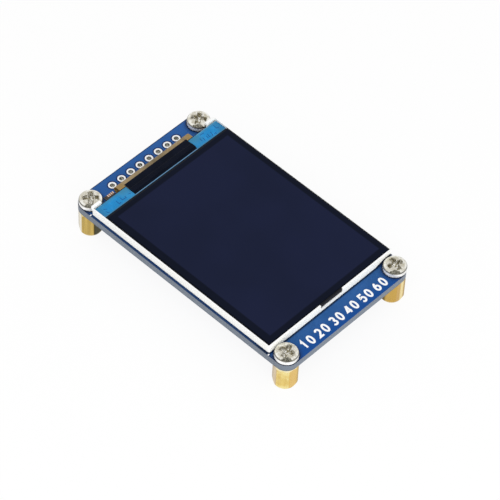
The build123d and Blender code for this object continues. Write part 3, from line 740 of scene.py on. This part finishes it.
def add_screw(shape, hole, degrees):
    """A domed crown with its recess, the side and underside of the head, and a plain shank."""
    centre = (hole[0] + (head_offset if hole[0] > 0 > hole[1] else 0.0), hole[1])
    angles = even(head_steps)
    turn = radians(degrees)
    rows = []
    depths = []
    for radius in crown_rings:
        level = dome_centre + sqrt(dome_radius ** 2 - radius ** 2)
        line = [recess(radius * cos(a), radius * sin(a), turn) for a in angles]
        row = ring(centre, radius, level, angles)
        rows.append([(x, y, z - depth) for (x, y, z), depth in zip(row, line)])
        depths.append(line)
    tags = []
    for inner, outer in zip(depths, depths[1:]):
        tags += [int(max(inner[j], outer[(j + 1) % head_steps]) > recess_seen) for j in range(head_steps)]
    rows += [ring(centre, radius, level, angles) for radius, level in head_side]
    tags += [0] * head_steps * len(head_side)
    first = len(shape.points)
    last = first + (len(rows) - 1) * head_steps
    shape.loft(rows, tags)
    shape.fan((*centre, dome_centre + dome_radius - recess(0, 0, turn)), first, head_steps, 1)
    shape.fan((*centre, board_top), last, head_steps, 2)
    shape.loft([ring(hole, radius, level, even(shank_steps)) for radius, level in shank_side], 2, ends=True)


screws = Shape()
for centre, degrees in zip(corners, screw_turns):
    add_screw(screws, centre, degrees)
piece("pan_head_screws", screws, ["crown", "recess", "shank"], ("screws",), smooth=50)


# Standoffs

hex_flat = 2.25
hex_corner = 2.525
standoff_height = 6.0
end_radius = 2.2
end_slope = tan(radians(60))
sleeve_radius = 1.26
bore_radius = 1.05
thread_top = 3.5
thread_end = 0.42
thread_turns = 46
thread_depth = 0.15
thread_pitch = 0.45


def hex_radius(angle):
    """How far the rounded hexagon reaches in a direction; its corners point along X."""
    sector = (angle + pi / 6) % (pi / 3) - pi / 6
    return soft_min(hex_flat / cos(pi / 6 - abs(sector)), hex_corner, 0.05)


def add_standoff(shape, centre):
    """The outside from the foot up, the bore's smooth sleeve at its top, fine grooves, and a flared mouth."""
    offsets = [0, 1.2, 2.4, 3.8, 5.5, 8, 12, 18, 24, 30]
    degrees = sorted({side * 60 + sign * offset for side in range(6) for offset in offsets for sign in (-1, 1)
                      if -30 <= sign * offset < 30})
    angles = [radians(value) for value in degrees]
    end = [0.0] + [0.02 + 0.04 * index for index in range(19)]
    rows = []
    for level in end + [1.2, 2.2, 3.8, 4.8] + [standoff_height - level for level in end[::-1]]:
        limit = end_radius - 0.02 + min(level, standoff_height - level) / end_slope
        rows.append(ring(centre, [soft_min(hex_radius(a), limit, 0.05) for a in angles], level, angles))
    for level in (standoff_height, thread_top):
        rows.append(ring(centre, sleeve_radius, level, angles))
    for index in range(thread_turns + 1):
        level = thread_top - (thread_top - thread_end) * index / thread_turns
        fade = min(1.0, index / 3, (thread_turns - index) / 3)
        radii = []
        for a in angles:
            phase = (level / thread_pitch - a / (2 * pi)) % 1.0
            radii.append(bore_radius + thread_depth * max(0.0, 1 - abs(phase - 0.5) * 2.4) * fade)
        rows.append(ring(centre, radii, level, angles))
    for radius, level in ((1.43, 0.03), (1.48, 0.0)):
        rows.append(ring(centre, radius, level, angles))
    shape.loft(rows, wrap_rows=True)


standoffs = Shape()
for centre in corners:
    add_standoff(standoffs, centre)
piece("hex_standoffs", standoffs, ["brass"], ("standoffs",), smooth=24)


# Header holes, mask openings and print

ring_profile = [
    (0.5, 6.06), (0.5, 7.54), (0.52, 7.6), (0.57, 7.64), (0.62, 7.65), (0.78, 7.65), (0.82, 7.642),
    (0.85, 7.61), (0.85, 5.99), (0.82, 5.958), (0.78, 5.95), (0.62, 5.95), (0.57, 5.96), (0.52, 6.0),
]
header = Shape()
openings = Shape()
for x in header_x:
    header.turned(ring_profile, (x, header_y), 48)
    for low, high in ((7.6, 7.604), (5.996, 6.0)):
        openings.turned([(0.851, low), (1.12, low), (1.12, high), (0.851, high)], (x, header_y), 48)
piece("header_rings", header, ["header"], ("header_pads",), smooth=40)
piece("mask_openings", openings, ["clearance"])

ink_top = 7.618
digit_width = 1.02
digit_height = 1.84
stroke = 0.42
stroke_lift = 0.004
digit_pitch = 1.78
number_pitch = 4.04
number_start = -9.85
number_base = -28.02


def bow(centre, radii, start, end, steps=9):
    """Points along part of an ellipse, from one angle in degrees to another."""
    angles = [radians(start + (end - start) * index / steps) for index in range(steps + 1)]
    return [(centre[0] + radii[0] * cos(a), centre[1] + radii[1] * sin(a)) for a in angles]


# The strokes of plain digits, in a cell one unit wide either side of the middle and two units high.
digit_strokes = {
    "0": [bow((0, 1), (0.9, 1.0), 90, 450, 20)],
    "1": [[(-0.5, 1.55), (0.15, 2.0), (0.15, 0.0)]],
    "2": [bow((0, 1.38), (0.85, 0.62), 160, -35) + [(-0.9, 0.0), (0.95, 0.0)]],
    "3": [bow((0, 1.5), (0.8, 0.5), 155, -90), bow((0, 0.5), (0.92, 0.5), 90, -155)],
    "4": [[(0.45, 0.0), (0.45, 2.0)], [(0.4, 2.0), (-0.95, 0.55), (1.0, 0.55)]],
    "5": [[(0.85, 2.0), (-0.65, 2.0), (-0.75, 1.1)] + bow((0, 0.62), (0.92, 0.62), 125, -150)],
    "6": [bow((0, 0.62), (0.9, 0.62), 90, 450, 16), bow((0.75, 0.62), (1.65, 1.38), 180, 108, 6)],
}


def print_digit(shape, digit, x, y):
    for index, path in enumerate(digit_strokes[digit]):
        points = [(x + px * digit_width / 2, y + py * digit_height / 2) for px, py in path]
        shape.ribbon(points, stroke, board_top, ink_top + index * stroke_lift)


printed = Shape()
for index in range(6):
    middle = number_start + index * number_pitch
    print_digit(printed, str(index + 1), middle - digit_pitch / 2, number_base)
    print_digit(printed, "0", middle + digit_pitch / 2, number_base)
for y in (24.1, -24.02):
    for side in (-1, 1):
        printed.box(sided(side, 17.1, 17.5), around(y, 0.12), (board_top, ink_top))
piece("printed_scale", printed, ["print"])


# Screen

foot_start = 12.5
foot_end = 14.9
foot_rise = 0.74


def frame_shift(x, y, z):
    """A wider notch, a front rim that reaches up to the glass, and a foot that rises beside a screw."""
    notch = -0.5 if -2.45 < x < -2.35 else 0.0
    rim = 0.12 if -23.8 < y < -23.72 and z > 9.6 else 0.0
    foot = foot_rise if x > foot_end - 0.01 and y < -23.9 and z < 7.9 else 0.0
    return notch, rim, foot


def tab_shift(x, y, z):
    return -0.5 if -2.4 < x < -2.3 else 0.0, 0.0, 0.0


def flex_shift(x, y, z):
    return -0.45 if x > 10.8 else 0.0, 0.0, 0.0


softened("white_frame", "backlight_frame", "frame_white", "frame", 0.05, frame_shift, (foot_start, foot_end))
softened("rim_sheet", "rim_tape", "black_tape", "tab", 0.0, tab_shift)
softened("flex_sheet", "main_flex", "gold_flex", "main_flex", 0.0, flex_shift)
softened("polariser_sheet", "upper_polariser", "polariser", "polariser", 0.03)
softened("colour_glass", "upper_glass", "screen_glass", "seal", 0.03)
softened("ledge_glass", "lower_glass", "ledge_glass", "ledge", 0.025)

marks = Shape()
mark_paths = [
    [(-12.17, 22.34), (-12.2, 21.32), (-11.67, 21.4)],
    [(-11.05, 22.45), (-11.08, 21.65), (-10.15, 21.57), (-10.09, 22.03)],
    [(-9.15, 21.94), (-8.75, 21.66)], [(-15.44, 22.47), (-14.85, 22.04)],
    [(-15.5, 21.74), (-15.3, 21.2), (-15.0, 21.2)], [(11.14, 22.45), (11.04, 21.55)],
    [(11.75, 22.14), (11.6, 21.29)], [(12.58, 22.05), (12.5, 21.3)],
    [(13.14, 22.22), (12.85, 21.43), (13.15, 21.4)], [(13.89, 22.21), (13.75, 21.25), (13.45, 21.3)],
    [(14.06, 21.25), (14.57, 21.3), (14.46, 21.0)],
    [(15.58, 23.01), (15.56, 22.03), (16.11, 21.92)], [(11.75, 23.0), (12.87, 22.92)],
]
for path in mark_paths:
    marks.ribbon(path, 0.14, ledge_level, ledge_level + 0.004)
piece("ledge_marks", marks, ["ledge_mark"])


# Back of the board

under = board_bottom
trace_low = under - 0.022
trace_lift = 0.001
pad_low = under - 0.03
shifter_x = 5.5
shifter_y = -2.0
shifter_leads = [shifter_x + (index - 3.5) * 0.65 for index in range(8)]
pin_x = [(index - 3.5) * 2.0 for index in range(8)]
traces = Shape()
for start, end in zip(pin_x, shifter_leads):
    bend = 13.6 - abs(end - start)
    traces.ribbon([(start, 15.4), (start, 13.6), (end, bend), (end, 0.9)], 0.22, trace_low, under)
lower_ends = [(3.15, -7.15), (3.95, -9.2), (4.85, -7.15), (5.175, -6.15), (5.825, -6.15), (6.75, -9.2),
              (7.35, -10.0), (7.9, -7.15)]
for x, (end_x, end_y) in zip(shifter_leads, lower_ends):
    bend = -5.4 - abs(end_x - x)
    traces.ribbon([(x, -4.9), (x, -5.4), (end_x, bend), (end_x, end_y)], 0.2, trace_low, under)
single_paths = [
    [(1.85, -7.15), (1.1, -7.15)], [(9.15, -7.15), (10.1, -7.15)],
    [(1.0, -2.65), (1.0, -4.2)], [(10.0, -2.65), (10.0, -4.2)],
    [(1.0, -1.35), (1.0, 0.4), (2.4, 1.8), (3.0, 1.8)], [(10.0, -1.35), (10.0, 0.9), (12.6, 1.5)],
    [(-12.4, 13.4), (-11.6, 12.6)], [(11.6, 12.6), (12.4, 13.4)],
    [(3.95, -9.2), (3.95, -11.0), (0.0, -14.0)], [(6.75, -9.2), (6.75, -12.0), (6.0, -18.5)],
    [(7.35, -10.0), (12.4, -14.5)], [(-8.5, -7.2), (-8.5, -11.0), (-6.0, -16.5)],
    [(-11.95, -4.65), (-13.4, -5.6)], [(-5.05, -4.65), (-3.6, -5.6)],
    [(-7.55, -5.4), (-7.0, -5.95), (-5.6, -5.95), (-5.05, -5.0)],
    [(-9.45, -5.4), (-10.0, -5.95), (-11.4, -5.95), (-11.95, -5.0)],
    [(-8.5, -2.4), (-8.5, 1.0), (-9.0, 2.4), (-9.45, 3.9)],
]
for index, path in enumerate(single_paths):
    traces.ribbon(path, 0.22, trace_low - trace_lift * (index % 6 + 0.5), under)
wide_paths = [
    [(-9.45, 7.9), (-9.45, 8.6), (-11.2, 8.6), (-11.95, 7.6), (-11.95, 6.8)],
    [(-7.55, 7.9), (-7.55, 8.6), (-5.8, 8.6), (-5.05, 7.6), (-5.05, 6.8)],
    [(-7.55, 4.0), (-7.55, 3.4), (-5.7, 3.4), (-5.05, 4.4), (-5.05, 5.2)], [(-5.05, 4.2), (-3.2, 3.4)],
    [(-11.95, 5.2), (-11.95, 4.4), (-13.6, 4.2)], [(-11.95, 7.4), (-13.6, 7.8)], [(-5.05, 7.4), (-3.6, 7.8)],
    [(-13.6, 7.8), (-13.6, 10.6), (-11.6, 12.6)],
]
for index, path in enumerate(wide_paths):
    traces.ribbon(path, 0.5, trace_low - trace_lift * (index + 1), under)
piece("masked_traces", traces, ["trace"])

vias = Shape()
via_places = [
    (3.95, -9.2), (5.175, -6.15), (5.825, -6.15), (6.75, -9.2), (7.35, -10.0), (1.1, -7.15), (10.1, -7.15),
    (1.0, -4.2), (10.0, -4.2), (-13.6, 4.2), (-13.6, 7.8), (-3.6, 7.8), (-13.4, -5.6), (-3.6, -5.6),
    (-8.5, -7.2), (-3.2, 3.4), (12.6, 1.5), (-11.6, 12.6), (11.6, 12.6), (0.0, -14.0), (-6.0, -16.5),
    (6.0, -18.5), (12.4, -14.5), (-12.4, -13.0),
]
via_profile = [(0.15, under - 0.03), (0.3, under - 0.03), (0.32, under - 0.015), (0.32, under), (0.15, under)]
for centre in via_places:
    vias.turned(via_profile, centre, 20)
    vias.disc(centre, 0.16, under - 0.012, under, 16, tag=1)
piece("covered_vias", vias, ["trace", "clearance"])

# Parts with two soldered ends: place, height of their joints, and whether they lie along Y.
end_parts = [
    (-11.95, 6.0, 0.4, True), (-5.05, 6.0, 0.4, True), (1.0, -2.0, 0.4, True), (10.0, -2.0, 0.4, True),
    (-11.95, -4.0, 0.25, True), (-5.05, -4.0, 0.25, True),
    (2.5, -7.15, 0.25, False), (5.5, -7.15, 0.25, False), (8.5, -7.15, 0.25, False),
]
solder = Shape()


def solder_joint(xs, ys, rise, foot_xs, foot_ys):
    """A pad with a lip of solder that climbs the foot standing on it."""
    base = rounded_outline(xs, ys, 0.06)
    inner = rounded_outline((xs[0] + 0.05, xs[1] - 0.05), (ys[0] + 0.05, ys[1] - 0.05), 0.05)
    crest = rounded_outline(foot_xs, foot_ys, 0.02)
    middle = [(bx + (ax - bx) * 0.35, by + (ay - by) * 0.35) for (ax, ay), (bx, by) in zip(inner, crest)]
    levels = [under - rise, under - rise * 0.35, pad_low, pad_low, under]
    outlines = [crest, middle, inner, base, base]
    solder.loft([[(x, y, level) for x, y in outline] for outline, level in zip(outlines, levels)], ends=True)


def lead_joint(x, y, side):
    """The joint of one bent lead, whose foot ends at y; side is -1 or 1."""
    ys = sorted((y - side * 0.72, y + side * 0.28))
    foot = sorted((y - side * 0.58, y + side * 0.03))
    solder_joint(around(x, 0.22), ys, 0.13, around(x, 0.155), foot)


for x in shifter_leads:
    lead_joint(x, shifter_y - 3.15, -1)
    lead_joint(x, shifter_y + 3.15, 1)
for offset in (-0.95, 0.0, 0.95):
    lead_joint(-8.5 + offset, 6.0 - 1.75, -1)
for offset in (-0.95, 0.95):
    lead_joint(-8.5 + offset, 6.0 + 1.75, 1)
    lead_joint(-8.5 + offset, -4.0 - 1.6, -1)
lead_joint(-8.5, -4.0 + 1.6, 1)
for x, y, height, along_y in end_parts:
    for side in (-1, 1):
        middle = y if along_y else x
        pad = [middle + end for end in sided(side, 0.5, 1.12)]
        foot = [middle + end for end in sided(side, 0.52, 0.84)]
        if along_y:
            solder_joint(around(x, 0.46), pad, height, around(x, 0.405), foot)
        else:
            solder_joint(pad, around(y, 0.46), height, foot, around(y, 0.405))
for x in pin_x:
    solder_joint(around(x, 0.42), (14.7, 16.95), 0.3, around(x, 0.26), (15.17, 16.5))
for side in (-1, 1):
    solder_joint(sided(side, 9.9, 11.6), (19.2, 23.2), 0.18, sided(side, 10.0, 11.22), (19.58, 22.82))
piece("solder_joints", solder, ["solder"], smooth=50)

silk_low = under - 0.016
silk = Shape()


def silk_bar(xs, ys):
    silk.box(xs, ys, (silk_low, under))


def silk_box(xs, ys):
    """Four printed lines round a rectangle."""
    for y in ys:
        silk_bar(xs, around(y, 0.065))
    for x in xs:
        silk_bar(around(x, 0.065), ys)


silk_box((2.55, 8.45), (-3.75, -0.25))
silk.disc((2.1, -4.6), 0.2, silk_low, under, 20)
silk_box((-10.3, -6.7), (5.35, 6.65))
silk_box((-10.3, -6.7), (-4.5, -3.5))
for x, y, height, along_y in end_parts:
    for side in (-1, 1):
        if along_y:
            silk_bar(around(x + side * 0.72, 0.06), around(y, 1.2))
        else:
            silk_bar(around(x, 1.2), around(y + side * 0.72, 0.06))
silk_bar((-9.9, 9.9), (17.1, 17.24))
for side in (-1, 1):
    silk_bar(sided(side, 9.84, 9.98), (17.1, 19.0))
    silk_bar(sided(side, 9.84, 9.98), (23.4, 25.1))
silk_box((-10.16, 10.16), around(header_y, 1.27))
silk_bar((-11.6, -11.0), around(header_y, 0.3))
piece("back_print", silk, ["print"])


# Components on the back

for component in (
        ("wire_housing", "wire_socket", "socket_plastic", "socket", 0.09),
        ("contact_pins", "socket_pins", "tin", "pin", 0.05),
        ("housing_tabs", "socket_tabs", "tin", "pin", 0.04),
        ("shifter_body", "level_shifter", "chip_black", "chip", 0.05),
        ("shifter_legs", "level_shifter_leads", "tin", "tin", 0.03),
        ("regulator_body", "regulator", "chip_black", "chip", 0.05),
        ("regulator_legs", "regulator_leads", "tin", "tin", 0.03),
        ("transistor_body", "backlight_transistor", "chip_black", "chip", 0.05),
        ("transistor_legs", "transistor_leads", "tin", "tin", 0.03),
        ("capacitor_bodies", "capacitors", "capacitor_tan", "capacitor", 0.04),
        ("capacitor_caps", "capacitor_ends", "tin", "solder", 0.06),
        ("resistor_bodies", "resistors", "resistor_black", "resistor", 0.03),
        ("resistor_caps", "resistor_ends", "tin", "solder", 0.04)):
    softened(*component)
dots = Shape()
dots.disc((3.55, -3.5), 0.26, 4.915, 4.925, 28)
piece("chip_mark", dots, ["chip_dot"])


# Camera, floor and light

camera_place = (-281.35, -254.06, 459.28)
camera_turn = Vector((2.2973495, -0.9564875, 0.3886899))
camera_lens = 218.42
camera_shift = (-0.001, 0.001)
floor_half = 900 * MM
floor_grey = 0.93
floor_glow = 0.9
world_light = 0.72
key_power = 0.75
fill_power = 1.12

camera_data = bpy.data.cameras.new("camera")
camera = in_scene("camera", camera_data)
bpy.context.scene.camera = camera
camera_data.lens = camera_lens
camera_data.sensor_width = 36
camera_data.shift_x, camera_data.shift_y = camera_shift
camera_data.clip_start = 0.01
camera_data.dof.use_dof = False
world_to_camera = Matrix.Rotation(camera_turn.length, 3, camera_turn.normalized())
flip = Matrix.Diagonal((1, -1, -1))
camera.matrix_world = (Matrix.Translation(Vector(camera_place) * MM)
                       @ (world_to_camera.transposed() @ flip).to_4x4())


def grey_shader(tree, kind, grey, strength=None):
    node = tree.nodes.new(kind)
    node.inputs["Color"].default_value = (grey, grey, grey, 1)
    if strength is not None:
        node.inputs["Strength"].default_value = strength
    return node


def show(tree, lighting, seen, share, output):
    """One shader lights the module, the other is seen straight, mirrored or through glass, by a share."""
    new = tree.nodes.new
    link = tree.links.new
    rays = new("ShaderNodeLightPath").outputs
    seen_rays = rays["Is Camera Ray"]
    for kind in ("Is Glossy Ray", "Is Transmission Ray"):
        either = new("ShaderNodeMath")
        either.operation = "MAXIMUM"
        link(seen_rays, either.inputs[0])
        link(rays[kind], either.inputs[1])
        seen_rays = either.outputs[0]
    part = new("ShaderNodeMath")
    part.operation = "MULTIPLY"
    link(seen_rays, part.inputs[0])
    part.inputs[1].default_value = share
    blend = new("ShaderNodeMixShader")
    for source, socket in zip((part, lighting, seen), blend.inputs):
        link(source.outputs[0], socket)
    link(blend.outputs[0], new(output).inputs[0])


floor_mesh = bpy.data.meshes.new("floor")
quarters = ((-1, -1), (1, -1), (1, 1), (-1, 1))
floor_mesh.from_pydata([(x * floor_half, y * floor_half, 0) for x, y in quarters], [], [(0, 1, 2, 3)])
floor_object = in_scene("floor", floor_mesh)
material = bpy.data.materials.new("studio_floor")
material.use_nodes = True
floor_mesh.materials.append(material)
tree = material.node_tree
tree.nodes.clear()
show(tree, grey_shader(tree, "ShaderNodeBsdfDiffuse", floor_grey), grey_shader(tree, "ShaderNodeEmission", 1),
     floor_glow, "ShaderNodeOutputMaterial")

world = bpy.data.worlds.new("studio")
bpy.context.scene.world = world
world.use_nodes = True
tree = world.node_tree
tree.nodes.clear()
show(tree, grey_shader(tree, "ShaderNodeBackground", 1, world_light),
     grey_shader(tree, "ShaderNodeBackground", 1, 1.0), 1.0, "ShaderNodeOutputWorld")


def add_light(name, location, size, energy):
    """A soft square light that faces the module and isn't mirrored in its bright parts."""
    data = bpy.data.lights.new(name, "AREA")
    data.size = size
    data.energy = energy
    light = in_scene(name, data)
    light.location = location
    light.rotation_euler = (Vector((0, 0, 0.008)) - light.location).to_track_quat("-Z", "Y").to_euler()
    light.visible_glossy = False


add_light("key", (-0.2, -0.16, 0.42), 0.35, key_power)
add_light("fill", (-0.22, -0.44, 0.1), 0.3, fill_power)
bpy.context.scene.view_settings.view_transform = "Standard"
